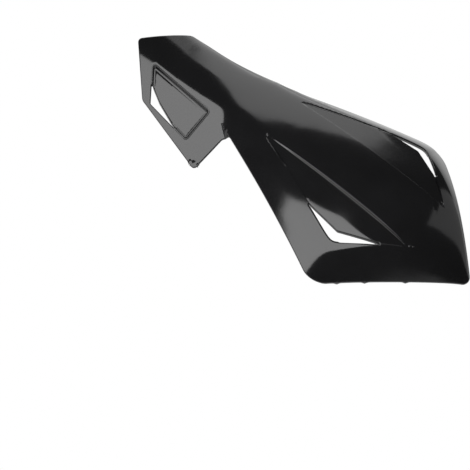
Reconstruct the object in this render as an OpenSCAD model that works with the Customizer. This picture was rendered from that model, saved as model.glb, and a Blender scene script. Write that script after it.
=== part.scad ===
// Motorcycle hand guard for the rider's left hand, one injection moulding in glossy plastic.
// X runs outboard along the handlebar, the face looks towards -Y and Z points up.
// The origin is the middle of the bolt hole in the rear arm.
// Plan sizes are given as [x, z] seen from the front, with x counted from the neck,
// and "rise" is how far a place stands forward of the plane behind the outer tip.

/* [Wall] */
// Thickness of the moulded wall
wall = 2.8; // [2:0.1:4]

/* [Shield] */
// Length of the shield from the neck to the corner point of the outer tip
shield_len = 202; // [192:0.5:215]
// Distance from the neck to the corner points at the widest place
corner_x = 120; // [114:1:126]
// Distance of the lower edge below the middle line at the neck
neck_low = 30.1; // [28:0.1:34]
// Distance of the upper edge above the middle line at the neck
neck_up = 25.4; // [23:0.1:28]
// Distance of the lower corner point below the middle line
corner_low = 76.2; // [71:0.1:82]
// Distance of the upper corner point above the middle line
corner_up = 68.5; // [62:0.1:74]
// Corner radius below
corner_low_r = 18; // [10:1:26]
// Corner radius above
corner_up_r = 28; // [18:1:36]
// Corner radius of the outer tip
tip_r = 6; // [3:0.5:10]

/* [Crown] */
// Rise of the crest at its highest place
crest_rise = 38.4; // [34:0.1:44]
// Distance from the neck to the crest's highest place
crest_x = 83; // [70:1:100]
// Radius of the crest along the shield
crest_long_r = 440; // [350:10:700]
// Radius of the crest across the shield
crest_cross_r = 142; // [110:1:220]
// Distance from the neck beyond which the crest falls faster
nose_x = 130; // [124:1:140]
// Radius of that further fall
nose_r = 130; // [100:1:180]
// Slope of the outer band beside the long edges, in degrees
long_band_angle = 48; // [38:1:54]
// Slope of the outer band beside the outboard edges, in degrees
outer_band_angle = 54; // [44:1:60]
// Softness of the bend from the crown to the band
crown_soft = 3.5; // [2:0.1:8]
// Softness of the bends between the bands
band_soft = 8; // [4:0.1:12]

/* [Rim] */
// Rise of the lower edge at the neck
neck_low_rise = 20.8; // [17:0.1:24]
// Rise of the upper edge at the neck
neck_up_rise = 25.6; // [22:0.1:28]
// Rise of the lower corner
corner_low_rise = 9; // [7:0.1:13]
// Rise of the upper corner
corner_up_rise = 12.7; // [10:0.1:16]
// Rise of the outer tip
tip_rise = 6; // [3:0.1:8]
// How far the lower long edge arches forward
long_arch_low = 5.4; // [3:0.1:8]
// How far the upper long edge arches forward
long_arch_up = 2; // [0:0.1:5]
// How far the lower outboard edge arches forward
outer_arch_low = 2; // [0:0.1:6]
// How far the upper outboard edge arches forward
outer_arch_up = 13; // [8:0.1:16]

/* [Vents] */
// Distance from the neck to the inboard point of the vent ramps
ramp_start_x = 27.5; // [20:0.5:40]
// Distance from the neck to the outboard point of the vent ramps
ramp_end_x = 156; // [151:1:162]
// Half width of the raised panel at the inboard point
panel_start_w = 18.1; // [16:0.1:22]
// Half width of the raised panel at the outboard point
panel_end_w = 20; // [16:0.1:22]
// How far the panel's edge draws in halfway along
panel_waist = 0.2; // [0:0.1:3]
// How far the line midway between the vents drifts up by their outboard points
vent_drift = 1.6; // [0:0.1:4]
// Height of the panel's edge above the ramp
panel_step = 1.2; // [0.6:0.1:2]
// Distance from the neck to the ramp's outer corner
ramp_corner_x = 116; // [112:1:119]
// Distance of the ramp's outer corner from the middle line
ramp_corner_w = 52.2; // [48:0.1:54]
// Fall of the ramp for each millimetre outward
ramp_fall = 0.18; // [0.14:0.01:0.3]
// Distance from the neck to the inboard end of the open slit
slit_start_x = 84.5; // [82:0.5:92]
// Distance from the neck to the outboard end of the open slit
slit_end_x = 143; // [136:0.5:147]
// Widest opening of the slit
slit_w = 6.7; // [5:0.1:8]

/* [Inboard end] */
// Distance from the neck to the inboard end of the fold
inner_len = 93.5; // [88:0.5:100]
// Rise of the fold at its inboard end
inner_rise = 43.6; // [40:0.1:48]
// Distance of the fold below the middle line
fold_drop = 24.5; // [22:0.1:27]
// Width of the top face at the inboard end
inner_w = 36; // [32:0.1:40]

/* [Flap] */
// Slope of the flap, in degrees
flap_angle = 36.5; // [32:0.1:44]
// Width of the flap below the fold at its inboard end
flap_in_w = 26.4; // [21:0.1:29]
// Width of the flap below the fold at its outboard edge
flap_out_w = 34.6; // [29:0.1:38]
// Depth of the recess in the flap
recess_depth = 2.2; // [1:0.1:3]

/* [Rear arm] */
// Distance of the arm's middle plane above the middle line
arm_z = 14; // [10:0.1:16]
// Distance from the neck to the middle of the arm's root
arm_x = 28; // [20:0.5:32]
// Width of the arm at its rear end
arm_w = 16.7; // [14:0.1:20]
// Width of the arm at the shield
arm_root_w = 26; // [20:0.5:32]
// Thickness of the arm
arm_t = 5; // [4:0.1:7]
// Length of the arm from the shield to its end
arm_len = 64; // [50:1:70]
// Angle by which the arm leans inboard, in degrees
arm_lean = 23; // [15:0.5:30]
// Corner radius of the arm's end
arm_end_r = 3; // [1:0.5:5]
// Thickness of the web under the arm
web_t = 3; // [2:0.1:4]
// Height of the web at the shield
web_h = 18; // [10:0.5:22]
// Distance from the bolt hole to the arm's end
hole_from_end = 24; // [16:0.5:28]
// Diameter of the bolt hole
hole_d = 6.5; // [5:0.1:8.5]
// Diameter of the boss round the bolt hole
boss_d = 15; // [12:0.5:16]
// Height of the boss above each face of the arm
boss_h = 1.5; // [0.5:0.1:3]

/* [Hidden] */
$fn = 64;

// Draft of the steps moulded into the face, as a width in the plan
draft = 0.4;
// The skin is modelled this far past its outline, which then trims it
trim = 4;

function sq(v) = v*v;
function mix(a, b, t) = a + (b - a)*t;
function along(x, x0, v0, x1, v1) = mix(v0, v1, (x - x0)/(x1 - x0));
// Points from a up to but not including b
function spread(a, b, n) = [for (i = [0:n - 1]) mix(a, b, i/n)];

// The lesser or the greater of two values, with a soft change from one to the other
function soft_min(a, b, k) = (a + b - sqrt(sq(a - b) + k*k))/2;
function soft_max(a, b, k) = (a + b + sqrt(sq(a - b) + k*k))/2;

// Corners given as [x, z, radius] become an outline with an arc at each corner.
function unit(v) = v/norm(v);
function corner_arc(a, p, b, r) =
    let (
        u = unit(a - p),
        v = unit(b - p),
        half = acos(u*v)/2,
        centre = p + unit(u + v)*r/sin(half),
        from = p + u*r/tan(half) - centre,
        to = p + v*r/tan(half) - centre,
        n = max(3, ceil(sqrt(r)*1.6))
    )
    [for (i = [0:n]) centre + r*unit(mix(from, to, i/n))];
function flat(p) = [p[0], p[1]];
function rounded(pts) =
    let (n = len(pts))
    [for (i = [0:n - 1])
        for (p = corner_arc(flat(pts[(i + n - 1)%n]), flat(pts[i]), flat(pts[(i + 1)%n]), pts[i][2])) p];

// Rise of a band at distance d inside the edge that it comes down to, steeper outside
function band(d, edge_rise, angle) = edge_rise + d*tan(angle)*(d < 0 ? 3 : 1);
// Rise of an arched edge on its way from rise a to rise b
function arched(t, a, b, arch) = mix(a, b, t) + arch*pow(max(0, 4*t*(1 - t)), 1.25);
function long_band(x, w, x0, w0, corner_w, rise0, corner_rise, arch) =
    let (slope = (corner_w - w0)/(corner_x - x0))
    band((w0 + slope*(x - x0) - w)/norm([1, slope]),
         arched((x - x0)/(corner_x - x0), rise0, corner_rise, arch), long_band_angle);
function outer_band(x, w, corner_w, corner_rise, arch) =
    let (slope = corner_w/(shield_len - corner_x))
    band((slope*(shield_len - x) - w)/norm([1, slope]),
         arched((x - corner_x)/(shield_len - corner_x), corner_rise, tip_rise, arch),
         outer_band_angle);
function crown(x, z) =
    crest_rise - sq(x - crest_x)/(2*crest_long_r) - sq(z)/(2*crest_cross_r)
    - sq(max(0, x - nose_x))/(2*nose_r);

// The inboard end has a top face that leans away from the fold, with a narrow band along
// its upper edge, and the flap on the other side of the fold.
inner_fall = 0.2;
top_lean = 0.11;
top_curl = 0.0036;
function inner_top(x, z) =
    inner_rise - inner_fall*(x + inner_len) - top_lean*(z + fold_drop) - top_curl*sq(z + fold_drop);
// The upper edge runs straight as far as the bend, and is lowest halfway along.
upper_slope = 0.17;
upper_bend_x = 15;
upper_low_x = -27;
upper_low_rise = neck_up_rise - 2.4;
upper_dip_r = 150;
function upper_edge(x) = neck_up + upper_slope*x;
function inner_band(x, z) =
    band((upper_edge(x) - z)/norm([1, upper_slope]),
         upper_low_rise + sq(min(x, 0) - upper_low_x)/(2*upper_dip_r), long_band_angle);
flap_fall = 0.28;
function flap_face(x, z) =
    inner_rise + 4.5 - flap_fall*(x + inner_len) + (z + fold_drop)*tan(flap_angle);

// Rise of the smooth outer face over any place in the plan
top_soft = 8;
side_soft = 3;
function rise(x, z) =
    let (
        top = soft_max(crown(x, z), inner_top(x, z), top_soft),
        low = soft_max(long_band(x, -z, 0, neck_low, corner_low,
                                 neck_low_rise, corner_low_rise, long_arch_low),
                       flap_face(x, z), side_soft),
        up = soft_max(long_band(x, z, upper_bend_x, upper_edge(upper_bend_x), corner_up,
                                neck_up_rise, corner_up_rise, long_arch_up),
                      inner_band(x, z), side_soft),
        outer = soft_min(outer_band(x, z, corner_up, corner_up_rise, outer_arch_up),
                         outer_band(x, -z, corner_low, corner_low_rise, outer_arch_low), band_soft)
    )
    soft_min(top, soft_min(soft_min(low, up, 1), outer, band_soft), crown_soft);

// The wall is as thick square to the face as it is in the middle.
function slant(x, z) =
    norm([1, rise(x + 0.5, z) - rise(x - 0.5, z), rise(x, z + 0.5) - rise(x, z - 0.5)]);

// The raised panel's edge and the ramp's outer edge, as distances from the vents' middle line
ramp_mid_x = (ramp_start_x + ramp_end_x)/2;
ramp_half = (ramp_end_x - ramp_start_x)/2;
ramp_point = 3*draft;
ramp_bend = 4;
function vent_line(x) =
    vent_drift*pow(max(0, (x - ramp_start_x)/(ramp_end_x - ramp_start_x)), 1.5);
function bulge(x) = max(0, 1 - sq((x - ramp_mid_x)/ramp_half));
function panel_edge(x) =
    along(x, ramp_start_x, panel_start_w, ramp_end_x, panel_end_w) - panel_waist*bulge(x);
function ramp_edge(x) =
    soft_min(along(x, ramp_start_x, panel_start_w + ramp_point, ramp_corner_x, ramp_corner_w),
             along(x, ramp_corner_x, ramp_corner_w, ramp_end_x, panel_end_w + ramp_point), ramp_bend);
// A ramp starts one step below the panel and falls away evenly.
function ramp_rise(x, z) =
    let (w = panel_edge(x), m = vent_line(x))
    rise(x, m + sign(z - m)*w) - panel_step*sqrt(bulge(x)) - ramp_fall*(abs(z - m) - w);

// Columns across the shield at x, from its lower edge to its upper edge, as [z, on ramp]
band_cells = 4;
ramp_cells = 3;
panel_cells = 6;
function edge(x, neck_w, corner_w) =
    max(0, min(along(x, 0, neck_w, corner_x, corner_w),
               along(x, corner_x, corner_w, shield_len, 0)));
function hold(x) = min(max(x, ramp_start_x), ramp_end_x);
function taper(x) = min(1, max(0.15, (shield_len + trim - x)/(shield_len + trim - ramp_end_x)));
function half_columns(x, out) =
    let (r = ramp_edge(hold(x))*taper(x), p = panel_edge(hold(x))*taper(x), d = draft*taper(x))
    concat([for (w = spread(out, r, band_cells)) [w, false]],
           [[r, false]],
           [for (w = spread(r - d, p + d, ramp_cells)) [w, true]],
           [[p + d, true], [p, false]]);
function shield_columns(x) =
    let (
        m = vent_line(hold(x))*taper(x),
        low = half_columns(x, edge(x, neck_low, corner_low) + min(x, trim) + m),
        up = half_columns(x, edge(x, neck_up, corner_up) + trim - m),
        p = low[len(low) - 1][0],
        n = len(up)
    )
    concat([for (c = low) [m - c[0], c[1]]],
           [for (i = [1:panel_cells - 1]) [m + mix(-p, p, i/panel_cells), false]],
           [for (i = [n - 1:-1:0]) [m + up[i][0], up[i][1]]]);

// Corners of the flap and of the top face, in the plan
upper_bend_r = 120;
upper_low_r = 60;
fold_end = [-inner_len, -fold_drop];
flap_in = fold_end + flap_in_w*[1.08, -1];
flap_tip = [-6, -fold_drop - flap_out_w];
upper_end = fold_end + inner_w*[0.57, 1];

// Corners of the recess in the flap, and the ends of the hole at its lower inboard corner
recess_up_in = fold_end + [20, -5];
recess_low_in = mix(flap_in, flap_tip, 0.11) + [0, 3];
recess_low_out = mix(flap_in, flap_tip, 0.72) + [0, 7.3];
recess_up_out = [-19.5, -fold_drop - 2.1];
gill_up = mix(recess_up_in, recess_low_in, 0.5);
gill_out = mix(recess_low_in, recess_low_out, 0.75);
gill_bulge = 1.2;

// Places along the valley between the flap and the neck
valley = [[-10.5, -fold_drop], [-6, 1.5 - neck_low]];

// Lines across the inboard end, each through five places: beyond the lower edge, the
// recess's lower and upper side, the fold, and beyond the upper edge
function past(a, b, d) = b + d*unit(b - a);
function over(x) = [x, upper_edge(x) + trim];
inner_lines = [
    [flap_in + [-2*trim, -trim], mix(fold_end, flap_in, 0.85) - [trim, 0],
     mix(fold_end, flap_in, 0.2) - [trim, 0], fold_end - [trim, 0], upper_end + [-trim, 2*trim]],
    [past(recess_up_in, recess_low_in, 4 + trim), recess_low_in, recess_up_in,
     past(recess_low_in, recess_up_in, 4), over(upper_end[0] + 14)],
    [recess_low_out - [1, 9 + 2*trim], recess_low_out, recess_up_out,
     recess_up_out + [0.5, 4.3], over(-16)],
    [flap_tip - [8, 2*trim], mix(recess_low_out, flap_tip, 0.5), valley[0] - [1, 5],
     valley[0], over(-8)],
    [flap_tip - [1.5, 2*trim], mix(flap_tip, valley[1], 0.2), mix(flap_tip, valley[1], 0.8),
     valley[1], over(-4)]
];
neck_line = [[0, flap_tip[1] - 2*trim], [0, flap_tip[1] + 4], [0, -neck_low - 4],
             [0, -neck_low], over(0)];
function shift(line, dx) = [for (i = [0:4]) line[i] + [i == 1 || i == 2 ? dx : 0, 0]];
function between(a, b, n) = [for (i = [0:n - 1]) mix(a, b, i/n)];

// A row of the skin is a list of [x, z, kind], where kind picks the level that it lies on.
ON_FACE = 0;
ON_RAMP = 1;
IN_RECESS = 2;
function flap_columns(line, kind) =
    let (low = line[0], a = line[1], b = line[2], d = draft*unit(b - a))
    concat([for (p = spread(low, a, 3)) [p[0], p[1], ON_FACE]],
           [[a[0], a[1], ON_FACE]],
           [for (p = spread(a + d, b - d, 4)) [p[0], p[1], kind]],
           [[b[0] - d[0], b[1] - d[1], kind], [b[0], b[1], ON_FACE]]);
function top_columns(line) =
    let (
        c = shield_columns(0),
        low = line[3],
        up = line[4],
        middle = mix(low, up, -low[1]/(up[1] - low[1]))
    )
    [for (q = c)
        let (p = q[0] < 0 ? mix(middle, low, q[0]/c[0][0]) : mix(middle, up, q[0]/c[len(c) - 1][0]))
        [p[0], p[1], ON_FACE]];
function inner_row(line, kind) = concat(flap_columns(line, kind), top_columns(line));
function shield_row(x) =
    let (c = shield_columns(x), out = c[0][0])
    concat(flap_columns([[x, min(out - 12, neck_line[0][1])], [x, min(out - 8, neck_line[1][1])],
                         [x, out - 4]], ON_FACE),
           [for (q = c) [x, q[0], q[1] ? ON_RAMP : ON_FACE]]);

inner_rows = concat(
    [for (l = between(inner_lines[0], inner_lines[1], 5)) inner_row(l, ON_FACE)],
    [inner_row(inner_lines[1], ON_FACE)],
    [for (l = between(shift(inner_lines[1], draft), shift(inner_lines[2], -draft), 14))
        inner_row(l, IN_RECESS)],
    [inner_row(shift(inner_lines[2], -draft), IN_RECESS)],
    [for (i = [2, 3]) for (l = between(inner_lines[i], inner_lines[i + 1], 3))
        inner_row(l, ON_FACE)],
    [for (l = between(inner_lines[4], neck_line, 2)) inner_row(l, ON_FACE)]);
shield_rows = [
    for (x = concat(spread(0, ramp_start_x, 7), spread(ramp_start_x, slit_start_x, 15),
                    spread(slit_start_x, ramp_corner_x, 5), spread(ramp_corner_x, slit_end_x, 7),
                    spread(slit_end_x, ramp_end_x, 5), spread(ramp_end_x, shield_len + trim, 12),
                    [shield_len + trim])) shield_row(x)];

function level(p) =
    p[2] == ON_RAMP && abs(p[0] - ramp_mid_x) < ramp_half ? ramp_rise(p[0], p[1])
    : rise(p[0], p[1]) - (p[2] == IN_RECESS ? recess_depth : 0);

// A slab between two sheets of points over the same plan
module slab(rows) {
    nr = len(rows);
    nc = len(rows[0]);
    front = [for (row = rows) for (p = row) [p[0], p[1], level(p)]];
    back = [for (row = rows) for (p = row) [p[0], p[1], level(p) - wall*slant(p[0], p[1])]];
    function at(i, j) = i*nc + j;
    function under(i, j) = nr*nc + at(i, j);
    function strip(a, b, c, d) = [[a, b, c], [a, c, d]];
    faces = concat(
        [for (i = [0:nr - 2]) for (j = [0:nc - 2])
            each strip(at(i, j), at(i, j + 1), at(i + 1, j + 1), at(i + 1, j))],
        [for (i = [0:nr - 2]) for (j = [0:nc - 2])
            each strip(under(i, j), under(i + 1, j), under(i + 1, j + 1), under(i, j + 1))],
        [for (i = [0:nr - 2])
            each strip(at(i, 0), at(i + 1, 0), under(i + 1, 0), under(i, 0))],
        [for (i = [0:nr - 2])
            each strip(at(i + 1, nc - 1), at(i, nc - 1), under(i, nc - 1), under(i + 1, nc - 1))],
        [for (j = [0:nc - 2])
            each strip(at(0, j + 1), at(0, j), under(0, j), under(0, j + 1))],
        [for (j = [0:nc - 2])
            each strip(at(nr - 1, j), at(nr - 1, j + 1), under(nr - 1, j + 1), under(nr - 1, j))]);
    polyhedron(concat(front, back), faces, convexity = 8);
}

// The outline of the whole guard in the plan
module outline() {
    polygon(rounded([
        [0, -neck_low, 3],
        [corner_x, -corner_low, corner_low_r],
        [shield_len, 0.5, tip_r],
        [corner_x, corner_up, corner_up_r],
        [upper_bend_x, upper_edge(upper_bend_x), upper_bend_r],
        [0.8*upper_end[0], upper_edge(0.8*upper_end[0]), upper_low_r],
        [upper_end[0], upper_end[1], 5],
        [fold_end[0], fold_end[1], 4],
        [flap_in[0], flap_in[1], 5],
        [flap_tip[0], flap_tip[1], 3.5]
    ]));
}

// The open slit of a vent, between the ramp and the band beside it
module slit(side) {
    bend = [ramp_corner_x - 2, ramp_edge(ramp_corner_x) - slit_w];
    shape = concat([for (x = spread(slit_start_x, slit_end_x, 16)) [x, ramp_edge(x) + 0.3]],
                   [[slit_end_x, ramp_edge(slit_end_x) + 0.3], bend]);
    polygon([for (p = shape) [p[0], vent_line(p[0]) + side*p[1]]]);
}

// The hole in the flap, where the recess ends short of its corner
module gill() {
    across = unit(gill_out - gill_up);
    bend = mix(gill_up, gill_out, 0.35) + gill_bulge*[across[1], -across[0]];
    polygon([gill_up, recess_low_in, gill_out, bend]);
}

module skin() {
    far = 3*crest_rise;
    difference() {
        intersection() {
            slab(concat(inner_rows, shield_rows));
            translate([0, 0, -far]) linear_extrude(2*far) outline();
        }
        translate([0, 0, -far]) linear_extrude(2*far) {
            slit(-1);
            slit(1);
            gill();
        }
    }
}

// The arm behind the neck is a level plate with a web under it and a boss at its bolt hole.
arm_root = [arm_x, rise(arm_x, arm_z) - wall*0.6];
arm_dir = [-sin(arm_lean), -cos(arm_lean)];
arm_side = [cos(arm_lean), -sin(arm_lean)];
arm_end = arm_root + arm_len*arm_dir;
hole = arm_end - hole_from_end*arm_dir;
web_len = arm_len - hole_from_end - boss_d/2 - 2;

module arm_plate() {
    root = [for (s = [-0.5:0.125:0.5])
        let (x = arm_x + s*arm_root_w) [x, rise(x, arm_z) - wall*0.6]];
    end = [for (p = rounded([
        [root[8][0], root[8][1], 0.1],
        concat(arm_end + arm_side*arm_w/2, arm_end_r),
        concat(arm_end - arm_side*arm_w/2, arm_end_r),
        [root[0][0], root[0][1], 0.1]])) p];
    polygon(concat(root, [for (i = [4:len(end) - 5]) end[i]]));
}

module arm() {
    translate([0, arm_z + arm_t/2, 0]) rotate([90, 0, 0]) linear_extrude(arm_t) arm_plate();
    translate([arm_root[0], arm_z, arm_root[1]]) rotate([0, 90 + arm_lean, 0])
        translate([0, 0, -web_t/2]) linear_extrude(web_t)
            polygon([[0, 0], [0, -web_h], [web_len, -arm_t/2], [web_len, 0]]);
    translate([hole[0], arm_z, hole[1]]) rotate([90, 0, 0])
        cylinder(d = boss_d, h = arm_t + 2*boss_h, center = true);
}

module hand_guard() {
    color([0.09, 0.09, 0.1])
    rotate([90, 0, 0]) translate([-hole[0], -arm_z, -hole[1]])
        difference() {
            union() {
                skin();
                arm();
            }
            translate([hole[0], arm_z, hole[1]]) rotate([90, 0, 0])
                cylinder(d = hole_d, h = 2*(arm_t + 2*boss_h), center = true);
        }
}

hand_guard();
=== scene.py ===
# Dresses the motorcycle hand guard: a fine mesh of the same moulding with its rounded rims,
# moulded steps and fillets, in glossy black plastic on a plain white floor.
import math

import bpy
import numpy as np
from mathutils import Matrix, Vector
from mathutils.geometry import delaunay_2d_cdt
from mathutils.kdtree import KDTree


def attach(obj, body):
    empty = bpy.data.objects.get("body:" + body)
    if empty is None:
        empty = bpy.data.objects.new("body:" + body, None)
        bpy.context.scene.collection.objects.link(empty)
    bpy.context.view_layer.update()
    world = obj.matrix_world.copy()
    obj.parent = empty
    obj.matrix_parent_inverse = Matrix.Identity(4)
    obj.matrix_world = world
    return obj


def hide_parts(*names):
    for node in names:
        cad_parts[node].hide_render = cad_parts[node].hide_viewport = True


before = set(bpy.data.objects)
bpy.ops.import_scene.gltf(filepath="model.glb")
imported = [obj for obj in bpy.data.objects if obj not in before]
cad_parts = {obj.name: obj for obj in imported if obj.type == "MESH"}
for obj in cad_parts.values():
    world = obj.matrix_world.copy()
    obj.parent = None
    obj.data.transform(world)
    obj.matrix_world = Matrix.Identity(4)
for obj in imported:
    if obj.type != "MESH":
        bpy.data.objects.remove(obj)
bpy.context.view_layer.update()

# Sizes of the moulding in mm, with the names and values of the part's source, apart from the radius
# of the notch beside the flap, which is 3 mm there. The plan is [x, z] seen from the front with x
# counted from the neck, and rise is how far a place stands forward.
WALL = 2.8
SHIELD_LEN, CORNER_X = 202.0, 120.0
NECK_LOW, NECK_UP, CORNER_LOW, CORNER_UP = 30.1, 25.4, 76.2, 68.5
NOTCH_R, CORNER_LOW_R, CORNER_UP_R, TIP_R = 4.5, 18.0, 28.0, 6.0

# Crown and bands
CREST_RISE, CREST_X, CREST_LONG_R, CREST_CROSS_R = 38.4, 83.0, 440.0, 142.0
NOSE_X, NOSE_R = 130.0, 130.0
LONG_SLOPE, OUTER_SLOPE = math.tan(math.radians(48)), math.tan(math.radians(54))
CROWN_SOFT, BAND_SOFT, TOP_SOFT, SIDE_SOFT = 3.5, 8.0, 8.0, 3.0
NECK_LOW_RISE, NECK_UP_RISE = 20.8, 25.6
CORNER_LOW_RISE, CORNER_UP_RISE, TIP_RISE = 9.0, 12.7, 6.0
LONG_ARCH_LOW, LONG_ARCH_UP, OUTER_ARCH_LOW, OUTER_ARCH_UP = 5.4, 2.0, 2.0, 13.0

# Vents
RAMP_START_X, RAMP_END_X, VENT_DRIFT = 27.5, 156.0, 1.6
PANEL_START_W, PANEL_END_W, PANEL_WAIST, PANEL_STEP = 18.1, 20.0, 0.2, 1.2
RAMP_CORNER_X, RAMP_CORNER_W, RAMP_FALL, RAMP_POINT, RAMP_BEND = 116.0, 52.2, 0.18, 1.2, 4.0
SLIT_START_X, SLIT_END_X, SLIT_W = 84.5, 143.0, 6.7

# Inboard end, flap and recess
INNER_LEN, INNER_RISE, FOLD_DROP, INNER_W = 93.5, 43.6, 24.5, 36.0
INNER_FALL, TOP_LEAN, TOP_CURL = 0.2, 0.11, 0.0036
FLAP_SLOPE, FLAP_IN_W, FLAP_OUT_W = math.tan(math.radians(36.5)), 26.4, 34.6
FLAP_FALL, FLAP_LIFT = 0.28, 4.5
RECESS_DEPTH, GILL_BULGE = 2.2, 1.2
UPPER_BEND_X, UPPER_SLOPE, UPPER_BEND_R, UPPER_LOW_R = 15.0, 0.17, 120.0, 60.0
UPPER_LOW_X, UPPER_LOW_RISE, UPPER_DIP_R = -27.0, NECK_UP_RISE - 2.4, 150.0

# Rear arm
ARM_Z, ARM_X, ARM_W, ARM_ROOT_W, ARM_T, ARM_LEN = 14.0, 28.0, 16.7, 26.0, 5.0, 64.0
ARM_LEAN, ARM_END_R, WEB_T, WEB_H = math.radians(23), 3.0, 3.0, 18.0
HOLE_FROM_END, HOLE_D, BOSS_D, BOSS_H = 24.0, 6.5, 15.0, 1.5

# From here on come the forms that the source leaves out, in mm too.
# The upper band swells forward over this width, and the swell fades in over these stretches.
SWELL_W, SWELL_H = 19.0, 1.0
SWELL_FROM_X, SWELL_TO_X, SWELL_FROM_Z = (40, 90), (170, 135), (4, 26)
# How much each end of the upper slit is shorter, and how much narrower the slit is
UPPER_SLIT_SHORT, UPPER_SLIT_NARROW = 5.0, 2.0
# Width in the plan of the steps beside the panel, at the ramp's outer edge and into the recess,
# and how far inside its line each of them starts
STEP_W, OUTER_STEP_W, RECESS_STEP_W = 1.3, 0.5, 1.0
STEP_IN, OUTER_STEP_IN, RECESS_STEP_IN = -0.05, -0.15, 0.3
# Fine lines round the recess, as [distance inside it, depth], and how wide they are
RECESS_LINES, RECESS_LINE_W = [(-0.2, 0.3), (1.9, 0.25)], 0.4
# A fine groove along the outer edge of each ramp: it runs in from the ramp's point over one
# length and fades out before its end over another
GROOVE_DEPTH, GROOVE_W, GROOVE_IN, GROOVE_OUT = 0.45, 0.5, 1.5, 12
LOW_GROOVE_END, UP_GROOVE_END = 62, 97
# How far the ramp curls down at the slit's lip, and over what width where the slit is widest
LIP_ROLL, LIP_REACH, LIP_REACH_START, LIP_REACH_END = 1.0, 10.0, 4.0, 0.5
# Flecks of flash on the lower edge: where, how long and how proud
FLASH_X, FLASH_LEN, FLASH_H = (133.5, 147.5, 168.0), 1.1, 0.45
# The dressed outlines stay this far inside the solid's
SKIN_INSET, ARM_INSET = 0.08, 0.03
# Small marks of the mould at the ramps' points and by the flap's tip, as [x, z, radius, height],
# which fade out at this many times their radius
MARK_FADE = 1.3
MARKS = [(28.2, -18.9, 0.8, 0.35), (157.6, -17.4, 0.9, 0.4), (159.5, -15.9, 0.7, 0.35),
         (153.0, 24.0, 1.0, 0.4), (-8.2, -56.9, 2.4, -0.55), (-11.4, -57.2, 1.4, -0.4),
         (-5.6, -55.6, 1.1, -0.4)]
# Radii of the rounded edges, and of the fillet where the arm meets the shield
RIM_R, GILL_R, LIP_R, SLIT_BAND_R, ARM_EDGE_R, BORE_EDGE_R = 1.15, 0.7, 0.55, 1.35, 0.6, 0.4
FILLET = 1.8
# Spacing of the mesh on the skin and on the arm
SKIN_SPACING, ARM_SPACING = 1.5, 1.3


# Blends
def soft_min(a, b, k):
    return (a + b - np.sqrt((a - b) ** 2 + k * k)) / 2


def soft_max(a, b, k):
    return (a + b + np.sqrt((a - b) ** 2 + k * k)) / 2


def mix(a, b, t):
    return a + (b - a) * t


def along(x, x0, v0, x1, v1):
    return mix(v0, v1, (x - x0) / (x1 - x0))


def ease(t):
    t = np.clip(t, 0, 1)
    return t * t * (3 - 2 * t)


def fade(v, span):
    return ease((v - span[0]) / (span[1] - span[0]))


def ridge(d, width):
    return np.exp(-(d / width) ** 2)


# Heights of the smooth face
def band(d, edge_rise, slope):
    return edge_rise + d * slope * np.where(d < 0, 3.0, 1.0)


def arched(t, a, b, arch):
    return mix(a, b, t) + arch * np.maximum(0, 4 * t * (1 - t)) ** 1.25


def long_inset(x, w, x0, w0, corner_w):
    """Distance inside a long edge, in the plan."""
    slope = (corner_w - w0) / (CORNER_X - x0)
    return (w0 + slope * (x - x0) - w) / math.hypot(1, slope)


def outer_inset(x, w, corner_w):
    """Distance inside an outboard edge, in the plan."""
    slope = corner_w / (SHIELD_LEN - CORNER_X)
    return (slope * (SHIELD_LEN - x) - w) / math.hypot(1, slope)


def long_band(x, w, x0, w0, corner_w, rise0, corner_rise, arch):
    t = (x - x0) / (CORNER_X - x0)
    return band(long_inset(x, w, x0, w0, corner_w), arched(t, rise0, corner_rise, arch), LONG_SLOPE)


def outer_band(x, w, corner_w, corner_rise, arch):
    t = (x - CORNER_X) / (SHIELD_LEN - CORNER_X)
    return band(outer_inset(x, w, corner_w), arched(t, corner_rise, TIP_RISE, arch), OUTER_SLOPE)


def crown(x, z):
    return (CREST_RISE - (x - CREST_X) ** 2 / (2 * CREST_LONG_R) - z ** 2 / (2 * CREST_CROSS_R)
            - np.maximum(0, x - NOSE_X) ** 2 / (2 * NOSE_R))


def inner_top(x, z):
    """The face at the inboard end, which leans away from the fold."""
    return (INNER_RISE - INNER_FALL * (x + INNER_LEN) - TOP_LEAN * (z + FOLD_DROP)
            - TOP_CURL * (z + FOLD_DROP) ** 2)


def upper_edge(x):
    return NECK_UP + UPPER_SLOPE * x


def inner_band(x, z):
    """The narrow band along the upper edge of the inboard end."""
    edge_rise = UPPER_LOW_RISE + (np.minimum(x, 0) - UPPER_LOW_X) ** 2 / (2 * UPPER_DIP_R)
    return band((upper_edge(x) - z) / math.hypot(1, UPPER_SLOPE), edge_rise, LONG_SLOPE)


def flap_face(x, z):
    return INNER_RISE + FLAP_LIFT - FLAP_FALL * (x + INNER_LEN) + (z + FOLD_DROP) * FLAP_SLOPE


def swell(x, z):
    """The upper band swells forward between its bend and its edge."""
    inset = soft_min(long_inset(x, z, UPPER_BEND_X, upper_edge(UPPER_BEND_X), CORNER_UP),
                     outer_inset(x, z, CORNER_UP), BAND_SOFT)
    t = np.clip(inset / SWELL_W, 0, 1)
    faded = fade(z, SWELL_FROM_Z) * fade(x, SWELL_FROM_X) * fade(x, SWELL_TO_X)
    return SWELL_H * 4 * t * (1 - t) * faded


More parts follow.
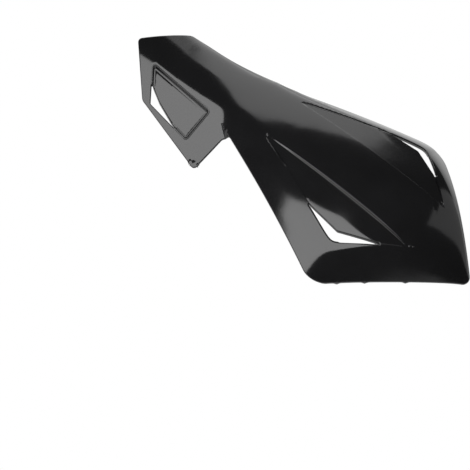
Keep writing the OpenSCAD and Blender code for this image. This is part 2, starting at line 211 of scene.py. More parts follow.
def rise(x, z):
    top = soft_max(crown(x, z), inner_top(x, z), TOP_SOFT)
    low = soft_max(long_band(x, -z, 0, NECK_LOW, CORNER_LOW, NECK_LOW_RISE, CORNER_LOW_RISE,
                             LONG_ARCH_LOW), flap_face(x, z), SIDE_SOFT)
    up = soft_max(long_band(x, z, UPPER_BEND_X, upper_edge(UPPER_BEND_X), CORNER_UP, NECK_UP_RISE,
                            CORNER_UP_RISE, LONG_ARCH_UP), inner_band(x, z), SIDE_SOFT)
    outer = soft_min(outer_band(x, z, CORNER_UP, CORNER_UP_RISE, OUTER_ARCH_UP),
                     outer_band(x, -z, CORNER_LOW, CORNER_LOW_RISE, OUTER_ARCH_LOW), BAND_SOFT)
    sides = soft_min(soft_min(low, up, 1), outer, BAND_SOFT)
    return soft_min(top, sides, CROWN_SOFT) + swell(x, z)


def slant(x, z):
    """How much deeper the wall is along the view than square to the face."""
    dx = rise(x + 0.5, z) - rise(x - 0.5, z)
    dz = rise(x, z + 0.5) - rise(x, z - 0.5)
    return np.sqrt(1 + dx ** 2 + dz ** 2)


def wall_depth(x, z):
    """Depth of the wall, evened out with four places close by."""
    by = 1.6
    places = [(0, 0), (by, 0), (-by, 0), (0, by), (0, -by)]
    return WALL * sum(slant(x + dx, z + dz) for dx, dz in places) / len(places)


# Lines of the vents, as distances from the line midway between them
RAMP_MID, RAMP_HALF = (RAMP_START_X + RAMP_END_X) / 2, (RAMP_END_X - RAMP_START_X) / 2


def bulge(x):
    return np.maximum(0, 1 - ((x - RAMP_MID) / RAMP_HALF) ** 2)


def vent_line(x):
    return VENT_DRIFT * np.maximum(0, (x - RAMP_START_X) / (RAMP_END_X - RAMP_START_X)) ** 1.5


def panel_edge(x):
    return along(x, RAMP_START_X, PANEL_START_W, RAMP_END_X, PANEL_END_W) - PANEL_WAIST * bulge(x)


def ramp_edge(x):
    start, end = PANEL_START_W + RAMP_POINT, PANEL_END_W + RAMP_POINT
    return soft_min(along(x, RAMP_START_X, start, RAMP_CORNER_X, RAMP_CORNER_W),
                    along(x, RAMP_CORNER_X, RAMP_CORNER_W, RAMP_END_X, end), RAMP_BEND)


# Closed lines in the plan
def unit(v):
    v = np.asarray(v, float)
    return v / np.linalg.norm(v)


def corner_arc(a, p, b, r, step):
    """Points of the arc that rounds the corner p between a and b."""
    u, v = unit(a - p), unit(b - p)
    half = math.acos(float(np.clip(u @ v, -1, 1))) / 2
    centre = p + unit(u + v) * r / math.sin(half)
    start, end = p + u * r / math.tan(half) - centre, p + v * r / math.tan(half) - centre
    turn = math.pi - 2 * half
    k = max(3, math.ceil(turn / 0.2), math.ceil(turn * r / step))
    return [centre + (math.sin((1 - j / k) * turn) * start + math.sin(j / k * turn) * end) / math.sin(turn)
            for j in range(k + 1)]


def rounded(corners, step=1.0):
    """Corners [x, z, radius] as a closed line of points about a step apart."""
    n, out = len(corners), []
    for i in range(n):
        a, p, b = (np.array(corners[(i + k) % n][:2], float) for k in (-1, 0, 1))
        r = corners[i][2]
        out += corner_arc(a, p, b, r, step) if r else [p]
    line = []
    for p, q in zip(out, out[1:] + out[:1]):
        k = max(1, round(float(np.linalg.norm(q - p)) / step))
        line += [p + (q - p) * j / k for j in range(k)]
    return np.array(line)


def circle(x, z, radius, count):
    turn = np.linspace(0, 2 * math.pi, count)
    return np.stack([x + radius * np.cos(turn), z + radius * np.sin(turn)], 1)


def area(loop):
    x, y = loop[:, 0], loop[:, 1]
    return 0.5 * float(np.sum(x * np.roll(y, -1) - np.roll(x, -1) * y))


def ring_normals(loop, hole):
    """Directions out of the material at each point of a closed line."""
    t = np.roll(loop, -1, 0) - loop
    t /= np.linalg.norm(t, axis=1)[:, None]
    side = 1 if area(loop) > 0 else -1
    out = np.stack([t[:, 1], -t[:, 0]], 1) * side * (-1 if hole else 1)
    mid = out + np.roll(out, 1, 0)
    mid /= np.linalg.norm(mid, axis=1)[:, None]
    return mid, 1 / np.maximum(0.5, np.sum(mid * out, axis=1))


def inside(points, loop):
    x, y = points[:, 0], points[:, 1]
    hit = np.zeros(len(points), bool)
    for (x0, y0), (x1, y1) in zip(loop, np.roll(loop, -1, 0)):
        if y0 == y1:
            continue
        cross = (y0 > y) != (y1 > y)
        hit ^= cross & (x < x0 + (y - y0) * (x1 - x0) / (y1 - y0))
    return hit


def distance(points, loop):
    """Distance inside a closed line, negative outside."""
    best = np.full(len(points), 1e9)
    for a, b in zip(loop, np.roll(loop, -1, 0)):
        ab = b - a
        t = np.clip(((points - a) @ ab) / max(1e-12, ab @ ab), 0, 1)
        best = np.minimum(best, np.sum((points - a - t[:, None] * ab) ** 2, axis=1))
    return np.sqrt(best) * np.where(inside(points, loop), 1, -1)


# Corners of the flap, the top face, the recess and its hole, as in the part's source
fold_end = np.array([-INNER_LEN, -FOLD_DROP])
flap_in = fold_end + FLAP_IN_W * np.array([1.08, -1])
flap_tip = np.array([-6.0, -FOLD_DROP - FLAP_OUT_W])
upper_end = fold_end + INNER_W * np.array([0.57, 1])
recess_up_in = fold_end + [20, -5]
recess_low_in = mix(flap_in, flap_tip, 0.11) + [0, 3]
recess_low_out = mix(flap_in, flap_tip, 0.72) + [0, 7.3]
recess_up_out = np.array([-19.5, -FOLD_DROP - 2.1])
gill_up = mix(recess_up_in, recess_low_in, 0.5)
gill_out = mix(recess_low_in, recess_low_out, 0.75)
gill_across = unit(gill_out - gill_up)
gill_bend = mix(gill_up, gill_out, 0.35) + GILL_BULGE * np.array([gill_across[1], -gill_across[0]])

RECESS = rounded([[*recess_up_in, 2.0], [*recess_low_in, 1.2], [*recess_low_out, 2.5],
                  [*recess_up_out, 2.0]], 0.8)
GILL = rounded([[*gill_up, 0.4], [*recess_low_in, 1.2], [*gill_out, 0.4], [*gill_bend, 8.0]], 0.7)


def guard_outline():
    """The outline of the whole guard, a hair inside the solid's, with its flecks of flash."""
    loop = rounded([
        [0, -NECK_LOW, NOTCH_R],
        [CORNER_X, -CORNER_LOW, CORNER_LOW_R],
        [SHIELD_LEN, 0.5, TIP_R],
        [CORNER_X, CORNER_UP, CORNER_UP_R],
        [UPPER_BEND_X, upper_edge(UPPER_BEND_X), UPPER_BEND_R],
        [0.8 * upper_end[0], upper_edge(0.8 * upper_end[0]), UPPER_LOW_R],
        [*upper_end, 5],
        [*fold_end, 4],
        [*flap_in, 5],
        [*flap_tip, 3.5]], 1.1)
    flash = sum(ridge(loop[:, 0] - x, FLASH_LEN) for x in FLASH_X) * (loop[:, 1] < -20)
    return loop + (FLASH_H * flash - SKIN_INSET)[:, None] * ring_normals(loop, False)[0]


OUTLINE = guard_outline()
SLIT_BEND_X = RAMP_CORNER_X - 2


def slit(side):
    """The open slit of the lower ramp, or of the upper one, which is a little shorter."""
    short, narrow = (UPPER_SLIT_SHORT, UPPER_SLIT_NARROW) if side > 0 else (0.0, 0.0)
    start, end, gap = SLIT_START_X + short, SLIT_END_X - short, 0.3
    outer = [[x, float(ramp_edge(x)) + gap, 0] for x in np.arange(start + 3.5, end - 3, 1.0)]
    corners = [[start, float(ramp_edge(start)) + gap, 0.3], *outer,
               [end, float(ramp_edge(end)) + gap, 0.3],
               [SLIT_BEND_X, float(ramp_edge(RAMP_CORNER_X)) - (SLIT_W - narrow), 3.0]]
    return rounded([[x, float(vent_line(x)) + side * w, r] for x, w, r in corners], 0.8)


# Levels of the moulded face
LIP_X = [SLIT_START_X, SLIT_BEND_X, SLIT_END_X]
LIP_W = [float(ramp_edge(SLIT_START_X)), float(ramp_edge(RAMP_CORNER_X)) - SLIT_W,
         float(ramp_edge(SLIT_END_X))]
REACH_X = [SLIT_START_X - 8, SLIT_START_X, SLIT_BEND_X, SLIT_END_X - 6]
REACH_W = [LIP_REACH_END, LIP_REACH_START, LIP_REACH, LIP_REACH_END]


def ramp_level(x, z):
    """A ramp starts one step below the panel, falls away evenly and curls down at its slit."""
    w, m = panel_edge(x), vent_line(x)
    from_mid = np.abs(z - m)
    level = rise(x, m + np.sign(z - m) * w) - PANEL_STEP * np.sqrt(bulge(x)) - RAMP_FALL * (from_mid - w)
    to_lip = np.interp(x, LIP_X, LIP_W) - from_mid
    reach = np.interp(x, REACH_X, REACH_W)
    return level - LIP_ROLL * reach / LIP_REACH * np.clip(1 - to_lip / reach, 0, 1.6) ** 2


def recess_sink(x, z):
    """Depth of the recess below the flap, with the fine lines round it."""
    sunk = np.zeros_like(x)
    near = (x < recess_up_out[0] + 3) & (z < recess_up_out[1] + 3)
    if near.any():
        d = distance(np.stack([x[near], z[near]], 1), RECESS)
        lines = sum(depth * ridge(d - at, RECESS_LINE_W) for at, depth in RECESS_LINES)
        sunk[near] = RECESS_DEPTH * ease((d - RECESS_STEP_IN) / RECESS_STEP_W) + lines
    return sunk


def face_level(x, z):
    """Rise of the front face with its ramps, grooves, marks and recess."""
    from_mid = np.abs(z - vent_line(x))
    inner, outer = from_mid - panel_edge(x), ramp_edge(x) - from_mid
    span = (x > RAMP_START_X) & (x < RAMP_END_X)
    on_ramp = ease((inner - STEP_IN) / STEP_W) * ease((outer - OUTER_STEP_IN) / OUTER_STEP_W)
    level = mix(rise(x, z), ramp_level(x, z), np.where(span, on_ramp, 0))
    groove_end = np.where(z > 0, UP_GROOVE_END, LOW_GROOVE_END)
    kept = ease((x - RAMP_START_X) / GROOVE_IN) * ease((groove_end - x) / GROOVE_OUT)
    level = level - GROOVE_DEPTH * np.where(span, kept * ridge(outer, GROOVE_W), 0)
    for px, pz, radius, height in MARKS:
        level = level + height * ease(MARK_FADE - np.hypot(x - px, z - pz) / radius)
    return level - recess_sink(x, z)


# Rims. Each ring is a list of [distance inside the outline, drop of the face there, turn of its
# normal, the same drop and turn of the back], with one entry for each point of the outline.
def square_rim(loop, hole, radius):
    """Rings of a rim that is cut straight down, with both its edges rounded. The radius may
    change from point to point."""
    out, stretch = ring_normals(loop, hole)
    radii = np.broadcast_to(radius, len(loop))
    turns = np.radians([90, 72, 54, 36, 18, 0]).tolist()
    rings = []
    for turn, inset in [(turn, 1 - math.sin(turn)) for turn in turns] + [(0.0, 1.7)]:
        drop = 1 - math.cos(turn)
        rings.append([(r * inset, r * drop, turn, -r * drop, math.pi - turn) for r in radii])
    return {"loop": loop, "hole": hole, "out": out, "stretch": stretch, "rings": rings, "shut": False}


def turned_end(lean, wall, radius):
    """Section of a wall's end at one lean: the places where its rings lie, from the nose in."""
    turn = np.radians(np.concatenate([np.linspace(0, 90, 31), np.linspace(90, 180, 31)]))
    u = radius * (np.sin(turn) - 1)
    v = np.where(np.arange(62) > 30, radius - wall, -radius) + radius * np.cos(turn)
    sin, cos, tan = math.sin(lean), math.cos(lean), math.tan(lean)
    o, n = u * cos + v * sin, v * cos - u * sin
    nose = radius * (1 - cos - sin)
    depth, drop = nose - o, -o * tan - n
    nose_turn = math.pi / 2 - lean
    first = int(np.argmin(np.abs(turn[:31] - nose_turn)))
    depth[first] = 0.0
    drop[first] = -nose * tan - radius * (sin - cos)
    turn[first] = nose_turn
    front, back = slice(first, None, -1), slice(first, None)
    back_turns = [math.pi / 2 - lean / 2, *np.radians([90, 91, 112, 134, 156, 179.9])]
    picks = np.sort(np.concatenate([
        np.interp(np.linspace(1, 0, 5) * nose_turn, turn[:first + 1], depth[:first + 1]),
        np.interp(back_turns, turn[back], depth[back])]))
    picks = np.append(picks, picks[-1] + 0.7)
    for i in range(1, len(picks)):
        picks[i] = max(picks[i], picks[i - 1] + 0.025)
    read = [np.interp(picks, depth[face], values[face]) for face in (front, back) for values in (drop, turn)]
    read[2] *= cos / wall
    return list(zip(picks, *read))


def turned_rim(loop, level, wall, radius):
    """Rings of a rim that is cut square to the sloping face, with both its edges rounded."""
    out, stretch = ring_normals(loop, False)
    at = loop - 1.5 * out
    slope = level(*(at - 0.5 * out).T) - level(*(at + 0.5 * out).T)
    lean = np.arctan(np.clip(slope, math.tan(math.radians(12)), math.tan(math.radians(60))))
    for _ in range(10):
        lean = (np.roll(lean, 1) + lean + np.roll(lean, -1)) / 3
    rings = [list(ring) for ring in zip(*(turned_end(a, wall, radius) for a in lean))]
    return {"loop": loop, "hole": False, "out": out, "stretch": stretch, "rings": rings, "shut": True}


# Meshes between two level sheets. A point's notes are its outward direction, its entry in a ring
# and the kind of its rim: 0 for none, 1 for a square one and 2 for a turned one.
PLAIN = (0, 0, 9, 0, 0, 0, math.pi, 0)


def find_tree(points):
    tree = KDTree(len(points))
    for i, p in enumerate(points):
        tree.insert((*p, 0), i)
    tree.balance()
    return tree


def solid(points, rims):
    return np.logical_and.reduce([inside(points, rim["loop"]) != rim["hole"] for rim in rims])


def plan_points(rims, lines, spacing):
    """Points, edges and notes of a plan, and where each rim's first ring starts. The rims' rings
    come first, then the given lines, then an even grid."""
    pts, edges, notes, starts = [], [], [], []
    for rim in rims:
        starts.append(len(pts))
        for ring in rim["rings"]:
            first, count = len(pts), len(ring)
            inset = np.array([entry[0] for entry in ring])
            pts += list(rim["loop"] - rim["out"] * (inset * rim["stretch"])[:, None])
            notes += [(*out, *entry, 1 + rim["shut"]) for out, entry in zip(rim["out"], ring)]
            edges += [(first + i, first + (i + 1) % count) for i in range(count)]
    rim_tree = find_tree(pts)
    for line in lines:
        last = None
        for p, good in zip(line, solid(line, rims)):
            if good and rim_tree.find((*p, 0))[2] > 0.35:
                if last is not None:
                    edges.append((last, len(pts)))
                last = len(pts)
                pts.append(p)
                notes.append(PLAIN)
            else:
                last = None
    tree = find_tree(pts)
    lo, hi = rims[0]["loop"].min(0), rims[0]["loop"].max(0)
    rows = np.arange(lo[1], hi[1], spacing * 0.866)
    grid = np.array([[x + (i % 2) * spacing / 2, y] for i, y in enumerate(rows)
                     for x in np.arange(lo[0], hi[0], spacing)])
    free = [p for p in grid[solid(grid, rims)] if tree.find((*p, 0))[2] > spacing * 0.62]
    return pts + free, edges, notes + [PLAIN] * len(free), starts


def plan_mesh(rims, lines, spacing):
    """Places, notes and triangles of a plan, and the first ring of each rim."""
    pts, edges, notes, starts = plan_points(rims, lines, spacing)
    verts, _, faces, orig, _, _ = delaunay_2d_cdt([Vector(p.tolist()) for p in pts], edges, [], 0, 1e-6)
    flat = np.array([[v.x, v.y] for v in verts])
    notes = np.array([notes[o[0]] if o else PLAIN for o in orig])
    where = {k: i for i, o in enumerate(orig) for k in o}
    noses = [[where[first + i] for i in range(len(rim["loop"]))] for first, rim in zip(starts, rims)]
    tri = np.array([f for f in faces if len(f) == 3])
    a, b, c = (flat[tri[:, i]] for i in range(3))
    size = (b - a)[:, 0] * (c - a)[:, 1] - (b - a)[:, 1] * (c - a)[:, 0]
    tri = np.where((size < 0)[:, None], tri[:, ::-1], tri)
    tri = tri[solid((a + b + c) / 3, rims) & (np.abs(size) > 1e-7)]
    # Where both sheets share a ring, a sliver between three of its points would be there twice.
    shared = np.zeros(len(flat), bool)
    for nose, rim in zip(noses, rims):
        shared[nose] = rim["shut"]
    tri = tri[~shared[tri].all(axis=1)]
    used = np.unique(tri)
    renumber = np.full(len(flat), -1)
    renumber[used] = np.arange(len(used))
    return flat[used], notes[used], renumber[tri], [renumber[nose].tolist() for nose in noses]


def sheet_normals(level, flat, notes, turn, inward):
    """Normals of a level sheet, turned outward at the rims. They are read a little inside."""
    out, inset, kind = notes[:, :2], notes[:, 2], notes[:, 7]
    x, y = (flat - out * np.clip(inward - inset, 0, None)[:, None]).T
    e = 0.03
    dx = (level(x + e, y) - level(x - e, y)) / (2 * e)
    dy = (level(x, y + e) - level(x, y - e)) / (2 * e)
    up = np.stack([-dx, -dy, np.ones(len(flat))], 1)
    up /= np.linalg.norm(up, axis=1)[:, None]
    flat_out = np.concatenate([out, np.zeros((len(flat), 1))], 1)
    on_sheet = flat_out - up * np.sum(flat_out * up, axis=1)[:, None]
    side = np.where((kind == 1)[:, None], flat_out, on_sheet)
    side /= np.maximum(1e-9, np.linalg.norm(side, axis=1))[:, None]
    both = up * np.cos(turn)[:, None] + side * np.sin(turn)[:, None]
    return both / np.linalg.norm(both, axis=1)[:, None]


def side_walls(rim, nose, under):
    """Faces that close a square rim between the front sheet and the back one."""
    ahead = (area(rim["loop"]) > 0) != rim["hole"]
    pairs = zip(nose, nose[1:] + nose[:1])
    return [(q, p, under[p], under[q]) if ahead else (p, q, under[q], under[p]) for p, q in pairs]


def new_object(name, mesh):
    obj = bpy.data.objects.new(name, mesh)
    bpy.context.scene.collection.objects.link(obj)
    return obj


def sheet_mesh(name, rims, lines, front, depth, spacing, place):
    """Closed mesh between a front height function and one that lies a depth behind it."""
    flat, notes, tri, noses = plan_mesh(rims, lines, spacing)
    n = len(flat)
    out, inset, front_drop, front_turn, back_drop, back_turn, kind = (
        notes[:, :2], notes[:, 2], notes[:, 3], notes[:, 4], notes[:, 5], notes[:, 6], notes[:, 7])
    x, y = flat.T
    level = front(x, y)
    wall = depth(*(flat - out * np.clip(0.7 - inset, 0, None)[:, None]).T)
    back = level - np.where(kind == 2, wall * back_drop, wall + back_drop)
    front_normals = sheet_normals(front, flat, notes, front_turn, 0.15)
    back_normals = sheet_normals(lambda x, y: front(x, y) - depth(x, y), flat, notes, back_turn, 0.7)
    own = np.ones(n, bool)
    for nose, rim in zip(noses, rims):
        own[nose] = not rim["shut"]
    under = np.where(own, np.cumsum(own) - 1 + n, np.arange(n)).tolist()
    faces = [tuple(f) for f in tri.tolist()]
    faces += [tuple(under[i] for i in reversed(f)) for f in faces]
    for nose, rim in zip(noses, rims):
        if not rim["shut"]:
            faces += side_walls(rim, nose, under)
    if np.linalg.det(place[:3, :3]) < 0:
        faces = [f[::-1] for f in faces]
    points = np.concatenate([np.stack([x, y, level - front_drop], 1), np.stack([x, y, back], 1)[own]])
    normals = np.concatenate([front_normals, back_normals[own]])
    mesh = bpy.data.meshes.new(name)
    mesh.from_pydata(((points @ place[:3, :3].T + place[:3, 3]) / 1000).tolist(), [], faces)
    mesh.polygons.foreach_set("use_smooth", [True] * len(mesh.polygons))
    on_back = mesh.attributes.new("back", "FLOAT", "POINT")
    on_back.data.foreach_set("value", np.concatenate([np.zeros(n), np.ones(int(own.sum()))]))
    mesh.normals_split_custom_set_from_vertices((normals @ place[:3, :3].T).tolist())
    mesh.validate()
    mesh.update()
    return new_object(name, mesh)


# The arm's own lines, as [plan x, rise]. The bolt hole is the frame's origin.
arm_root = np.array([ARM_X, float(rise(np.float64(ARM_X), np.float64(ARM_Z))) - WALL * 0.6])
arm_dir = np.array([-math.sin(ARM_LEAN), -math.cos(ARM_LEAN)])
arm_side = np.array([math.cos(ARM_LEAN), -math.sin(ARM_LEAN)])
arm_end = arm_root + ARM_LEN * arm_dir
hole = arm_end - HOLE_FROM_END * arm_dir
WEB_LEN = ARM_LEN - HOLE_FROM_END - BOSS_D / 2 - 2

# Plan x, plan z and rise to the frame's X, Y and Z, and plan x, rise and plan z to the same
SKIN_FRAME = np.array([[1, 0, 0, -hole[0]], [0, 0, -1, hole[1]], [0, 1, 0, -ARM_Z], [0, 0, 0, 1]], float)
ARM_FRAME = np.array([[1, 0, 0, -hole[0]], [0, -1, 0, hole[1]], [0, 0, 1, -ARM_Z], [0, 0, 0, 1]], float)


# Skin
def slit_edge(loop):
    """The band's side of a slit is well rounded, and the ramp's lip is crisper."""
    x, w = loop[:, 0], np.abs(loop[:, 1] - vent_line(loop[:, 0]))
    return mix(LIP_R, SLIT_BAND_R, ease((w - ramp_edge(x) + 1.2) / 1.2))


def skin_lines():
    """Lines that the mesh of the skin keeps, so that its steps, marks and grooves come out crisp."""
    lines = []
    xs = np.arange(RAMP_START_X - 1, RAMP_END_X + 1.01, 1.0)
    held = np.clip(xs, RAMP_START_X, RAMP_END_X)
    for side in (-1, 1):
        for d in (-0.35, -0.05, 0.2, 0.45, 0.7, 0.95, 1.25, 1.6):
            lines.append(np.stack([xs, vent_line(xs) + side * (panel_edge(held) + d)], 1))
        for d in (-1.1, -0.75, -0.5, -0.3, -0.1, 0.15, 0.45):
            lines.append(np.stack([xs, vent_line(xs) + side * (ramp_edge(held) + d)], 1))
    for x, z, radius, _ in MARKS:
        lines += [circle(x, z, k * radius, 25) for k in (0.35, 0.8, 1.25)]
    out, stretch = ring_normals(RECESS, False)
    for d in (-0.9, -0.5, -0.2, 0.1, 0.4, 0.65, 0.9, 1.15, 1.4, 1.65, 1.95, 2.4):
        ring = RECESS - out * (d * stretch)[:, None]
        lines.append(np.concatenate([ring, ring[:1]]))
    return lines


def make_skin():
    low, up = slit(-1), slit(1)
    rims = [turned_rim(OUTLINE, rise, WALL, RIM_R), square_rim(low, True, slit_edge(low)),
            square_rim(up, True, slit_edge(up)), square_rim(GILL, True, GILL_R)]
    return sheet_mesh("hand_guard_skin", rims, skin_lines(), face_level, wall_depth, SKIN_SPACING, SKIN_FRAME)


# Rear arm
def inner_face(x, z):
    """Rise of the wall's inner face."""
    return rise(x, z) - WALL * slant(x, z)


def to_wall(x, n, z=ARM_Z):
    """Distance from a place in the arm's plane to the wall's inner face."""
    z = np.full_like(x, z)
    slope = inner_face(x + 0.5, z) - inner_face(x - 0.5, z)
    return (inner_face(x, z) - n) / np.sqrt(1 + slope ** 2)


def flare(d):
    """Width that the fillet adds at a distance from the wall."""
    t = np.clip(FILLET - d, 0, FILLET * 0.999)
    return FILLET - np.sqrt(FILLET ** 2 - t ** 2)


def boss(x, n):
    return BOSS_H * ease((BOSS_D / 2 - np.hypot(x - hole[0], n - hole[1])) / 0.3)


def web(x, n):
    p = np.stack([x, n], -1) - arm_root
    height = (WEB_H - ARM_T / 2) * np.clip(1 - p @ arm_dir / WEB_LEN, 0, None)
    half = WEB_T / 2 + flare(to_wall(x, n, 5.0))
    return height * ease((half + 0.1 - np.abs(p @ arm_side)) / 0.25)


def arm_front(x, n):
    return ARM_Z + ARM_T / 2 + flare(to_wall(x, n)) + boss(x, n)


def arm_depth(x, n):
    return ARM_T + 2 * flare(to_wall(x, n)) + 2 * boss(x, n) + web(x, n)


def in_wall(x):
    """A place of the arm's root, sunk into the shield's wall."""
    return [x, float(rise(np.float64(x), np.float64(ARM_Z))) - WALL * 0.6]


def arm_outline():
    half = ARM_ROOT_W / 2
    root = [[*in_wall(x), 0] for x in np.linspace(ARM_X + half + 1.0, ARM_X - half - 1.0, 25)]
    sides = []
    for s in (1, -1):
        a, b = np.array(in_wall(ARM_X + s * half)), arm_end + s * arm_side * ARM_W / 2
        p = a + (b - a) * np.linspace(0, 0.22, 34)[:, None]
        d = to_wall(p[:, 0], p[:, 1])
        p = p + np.array([s, 0]) * flare(d)[:, None]
        sides.append([[*q, 0] for q, w in zip(p, d) if 0.02 < w < FILLET * 1.3] + [[*b, ARM_END_R]])
    right, left = sides
    loop = rounded(root[:1] + right + left[::-1] + root[:0:-1], 0.9)
    return loop - ARM_INSET * ring_normals(loop, False)[0]


def arm_lines():
    lines = [circle(*hole, BOSS_D / 2 + d, 73) for d in (-0.6, -0.3, -0.2, -0.1, 0.0, 0.2)]
    base = arm_root + np.linspace(0.3, WEB_LEN + 1, 60)[:, None] * arm_dir
    half = WEB_T / 2 + flare(to_wall(base[:, 0], base[:, 1], 5.0))
    for side in (-1, 1):
        for w in (-0.4, -0.15, -0.09, -0.03, 0.03, 0.1, 0.4):
            lines.append(base + side * arm_side * (half + w)[:, None])
    xs = np.linspace(ARM_X - 16, ARM_X + 16, 60)
    n = inner_face(xs, np.full_like(xs, ARM_Z))
    square = np.sqrt(1 + np.gradient(n, xs) ** 2)
    lines += [np.stack([xs, n - FILLET * k * square], 1) for k in (0.01, 0.06, 0.15, 0.3, 0.55, 1.0)]
    return lines


def make_arm():
    bore = circle(*hole, HOLE_D / 2, 73)[:-1]
    rims = [square_rim(arm_outline(), False, ARM_EDGE_R), square_rim(bore, True, BORE_EDGE_R)]
    return sheet_mesh("hand_guard_arm", rims, arm_lines(), arm_front, arm_depth, ARM_SPACING, ARM_FRAME)


skin, arm = make_skin(), make_arm()


# Materials
def math_node(tree, kind, a, b):
    """A Math node of two outputs or numbers."""
    node = tree.nodes.new("ShaderNodeMath")
    node.operation = kind
    for socket, value in zip(node.inputs, (a, b)):
        if isinstance(value, float):
            socket.default_value = value
        else:
            tree.links.new(value, socket)
    return node.outputs[0]


def map_range(tree, value, low, high, to_low, to_high):
    node = tree.nodes.new("ShaderNodeMapRange")
    for name, v in (("From Min", low), ("From Max", high), ("To Min", to_low), ("To Max", to_high)):
        node.inputs[name].default_value = v
    tree.links.new(value, node.inputs["Value"])
    return node.outputs["Result"]


def mix_shader(tree, factor, a, b):
    node = tree.nodes.new("ShaderNodeMixShader")
    for socket, value in zip(node.inputs, (factor, a, b)):
        tree.links.new(value, socket)
    return node.outputs[0]


def gloss_black():
    """Black plastic, polished on the face and satin on the back."""
    mat = bpy.data.materials.new("gloss_black_plastic")
    mat.use_nodes = True
    tree = mat.node_tree
    nodes, links = tree.nodes, tree.links
    bsdf = nodes["Principled BSDF"]
    bsdf.inputs["IOR"].default_value = 1.5
    place = nodes.new("ShaderNodeTexCoord")

    def noise(scale, detail=2.0, seed=(0, 0, 0), turn=(0, 0, 0), stretch=(1, 1, 1)):
        moved = nodes.new("ShaderNodeMapping")
        for name, value in (("Location", seed), ("Rotation", turn), ("Scale", stretch)):
            moved.inputs[name].default_value = value
        links.new(place.outputs["Object"], moved.inputs["Vector"])
        tex = nodes.new("ShaderNodeTexNoise")
        tex.inputs["Scale"].default_value = scale
        tex.inputs["Detail"].default_value = detail
        links.new(moved.outputs["Vector"], tex.inputs["Vector"])
        return tex.outputs["Fac"]

    def remap(value, *spans):
        return map_range(tree, value, *spans)

    def add(a, b):
        return math_node(tree, "ADD", a, b)

    def times(a, b):
        return math_node(tree, "MULTIPLY", a, b)

    behind = nodes.new("ShaderNodeAttribute")
    behind.attribute_name = "back"
    on_back = behind.outputs["Fac"]

    # Handling marks: broad hazy patches, and hairlines that run mostly along the guard
    haze = remap(noise(16, 3.0), 0.42, 0.7, 0.0, 0.045)
    hairs = remap(noise(700, 1.0, (0, 0, 0), (0, 0.25, 0), (0.012, 1, 1)), 0.7, 0.76, 0.0, 0.04)
    cross = remap(noise(700, 1.0, (3, 1, 2), (0, -0.6, 0), (0.015, 1, 1)), 0.72, 0.78, 0.0, 0.03)
    worn = remap(noise(28, 2.0, (5, 2, 7)), 0.5, 0.62, 0.0, 1.0)
    front_rough = add(add(haze, times(add(hairs, cross), worn)), 0.1)
    back_rough = remap(noise(420, 3.0), 0.3, 0.7, 0.3, 0.42)
    rough = nodes.new("ShaderNodeMix")
    links.new(on_back, rough.inputs["Factor"])
    links.new(front_rough, rough.inputs["A"])
    links.new(back_rough, rough.inputs["B"])
    links.new(rough.outputs["Result"], bsdf.inputs["Roughness"])

    # The pigment is a little uneven, and the satin back reads a little greyer.
    tone = nodes.new("ShaderNodeValToRGB")
    tone.color_ramp.elements[0].color = (0.0052, 0.0052, 0.0056, 1)
    tone.color_ramp.elements[1].color = (0.0105, 0.0105, 0.0112, 1)
    uneven = remap(noise(35, 4.0, (1, 4, 2)), 0.3, 0.75, 0.0, 0.55)
    links.new(add(uneven, times(on_back, 0.45)), tone.inputs["Fac"])
    links.new(tone.outputs["Color"], bsdf.inputs["Base Color"])

    # A moulded sheet is never quite even: long waves, a fine orange peel, and a grained back.
    waves = times(noise(22, 2.0, (8, 3, 1)), 0.55)
    peel = times(noise(260, 2.0), 0.012)
    grain = times(times(noise(1300, 2.0), 0.09), on_back)
    bump = nodes.new("ShaderNodeBump")
    bump.inputs["Strength"].default_value = 1.0
    bump.inputs["Distance"].default_value = 0.0006
    links.new(add(add(waves, peel), grain), bump.inputs["Height"])
    links.new(bump.outputs["Normal"], bsdf.inputs["Normal"])
    return mat


black = gloss_black()
for piece in (skin, arm):
    piece.data.materials.append(black)
    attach(piece, "root")
    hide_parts("hand_guard")

# The photograph's camera. It looks down at the middle of a floor by one angle, from STAND mm away,
# and the guard lies turned, tilted and shifted on that floor. Angles are in radians.
LOOK_DOWN, TURN, TILT_L, TILT_W = 0.9485064393, -0.7354664212, 0.0846656953, 0.0795456818
SHIFT = Vector((40.0058, 76.9251, 0))
STAND, PIVOT_X = 910.0, 35
SENSOR, FOCAL_PX, PICTURE_PX = 36, 1300, 470
plan_turn = Matrix.Rotation(TURN, 3, "Z") @ Matrix.Rotation(TILT_L, 3, "Y") @ Matrix.Rotation(TILT_W, 3, "X")
to_floor = plan_turn @ Matrix(((1, 0, 0), (0, 0, 1), (0, -1, 0)))
from_floor = to_floor.transposed()
offset = plan_turn @ Vector((hole[0] - PIVOT_X, ARM_Z, hole[1])) + SHIFT


def frame_point(p):
    """A point over the floor, in mm, as a place in the part's frame in metres."""
    return from_floor @ (Vector(p) - offset) / 1000


def put(obj, at, turn):
    """Places an object over the floor, turned as seen from there."""
    obj.matrix_world = Matrix.Translation(frame_point(at)) @ (from_floor @ turn).to_4x4()


def make_camera():
    at = Vector((0, -STAND * math.cos(LOOK_DOWN), STAND * math.sin(LOOK_DOWN)))
    back, right = at.normalized(), Vector((1, 0, 0))
    data = bpy.data.cameras.new("camera")
    data.sensor_width = SENSOR
    data.lens = SENSOR * FOCAL_PX / PICTURE_PX
    obj = new_object("camera", data)
    put(obj, at, Matrix((right, back.cross(right), back)).transposed())
    return obj


bpy.context.scene.camera = make_camera()

# Floor, in metres across and mm below the guard
FLOOR_SIZE, FLOOR_GAP = 8.0, 0.5


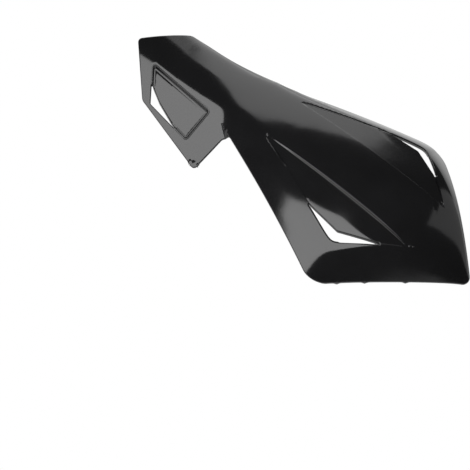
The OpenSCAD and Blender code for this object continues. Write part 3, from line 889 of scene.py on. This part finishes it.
def floor_material():
    """White to the camera and in reflections, with the guard's shadow in other light, and clear
    from below."""
    mat = bpy.data.materials.new("white_floor")
    mat.use_nodes = True
    tree = mat.node_tree
    tree.nodes.clear()
    out = tree.nodes.new("ShaderNodeOutputMaterial")
    diffuse = tree.nodes.new("ShaderNodeBsdfDiffuse")
    diffuse.inputs["Color"].default_value = (0.8, 0.8, 0.8, 1)
    glow = tree.nodes.new("ShaderNodeEmission")
    glow.inputs["Strength"].default_value = 1
    clear = tree.nodes.new("ShaderNodeBsdfTransparent")
    path = tree.nodes.new("ShaderNodeLightPath").outputs
    facing = tree.nodes.new("ShaderNodeNewGeometry").outputs
    shown = math_node(tree, "MAXIMUM", path["Is Camera Ray"], path["Is Glossy Ray"])
    shown = math_node(tree, "MAXIMUM", shown, path["Is Transmission Ray"])
    above = mix_shader(tree, shown, diffuse.outputs[0], glow.outputs[0])
    surface = mix_shader(tree, facing["Backfacing"], above, clear.outputs[0])
    tree.links.new(surface, out.inputs["Surface"])
    return mat


def make_floor():
    lowest = min((to_floor @ (v.co * 1000) + offset).z for piece in (skin, arm) for v in piece.data.vertices)
    half = FLOOR_SIZE / 2
    mesh = bpy.data.meshes.new("floor")
    corners = [(-half, -half, 0), (half, -half, 0), (half, half, 0), (-half, half, 0)]
    mesh.from_pydata(corners, [], [(0, 1, 2, 3)])
    obj = new_object("floor", mesh)
    put(obj, (0, 0, lowest - FLOOR_GAP), Matrix.Identity(3))
    mesh.materials.append(floor_material())


def make_world():
    """White to the camera. In reflections it is white below the floor's horizon, as the floor is,
    and dim above it."""
    world = bpy.data.worlds.new("studio")
    bpy.context.scene.world = world
    world.use_nodes = True
    tree = world.node_tree
    tree.nodes.clear()
    out = tree.nodes.new("ShaderNodeOutputWorld")
    dim = tree.nodes.new("ShaderNodeBackground")
    dim.inputs["Color"].default_value = (0.08, 0.08, 0.08, 1)
    white = tree.nodes.new("ShaderNodeBackground")
    white.inputs["Color"].default_value = (1, 1, 1, 1)
    white.inputs["Strength"].default_value = 1
    path = tree.nodes.new("ShaderNodeLightPath").outputs
    height = tree.nodes.new("ShaderNodeVectorMath")
    height.operation = "DOT_PRODUCT"
    height.inputs[1].default_value = from_floor @ Vector((0, 0, 1))
    tree.links.new(tree.nodes.new("ShaderNodeTexCoord").outputs["Generated"], height.inputs[0])
    below = map_range(tree, height.outputs["Value"], 0.05, -0.02, 0.0, 1.0)
    shiny = math_node(tree, "MAXIMUM", path["Is Glossy Ray"], path["Is Transmission Ray"])
    shown = math_node(tree, "MAXIMUM", path["Is Camera Ray"], math_node(tree, "MULTIPLY", shiny, below))
    tree.links.new(mix_shader(tree, shown, dim.outputs[0], white.outputs[0]), out.inputs["Surface"])


def soft_box(name, at, aim, roll, size, level):
    """A rectangular lamp at a place over the floor, turned towards another, both in mm. Its level
    is how bright a mirror would show it."""
    light = bpy.data.lights.new(name, "AREA")
    light.shape = "RECTANGLE"
    light.size, light.size_y = size[0] / 1000, size[1] / 1000
    light.energy = level * math.pi * light.size * light.size_y
    out = (Vector(at) - Vector(aim)).normalized()
    side = Matrix.Rotation(math.radians(roll), 3, out) @ Vector((0, 0, 1)).cross(out).normalized()
    obj = new_object(name, light)
    put(obj, at, Matrix((side, out.cross(side), out)).transposed())
    obj.visible_camera = False


make_floor()
make_world()
soft_box("key_light", (-285, -191, 262), (-244, -55, -165), -59.6, (268, 774), 4.21)
soft_box("side_light", (588, 140, 111), (19, 319, 184), -7.5, (368, 957), 0.64)
soft_box("far_light", (381, 2202, 1033), (1383, 93, 478), -5.9, (2146, 2667), 1.98)

bpy.context.scene.view_settings.view_transform = "Standard"
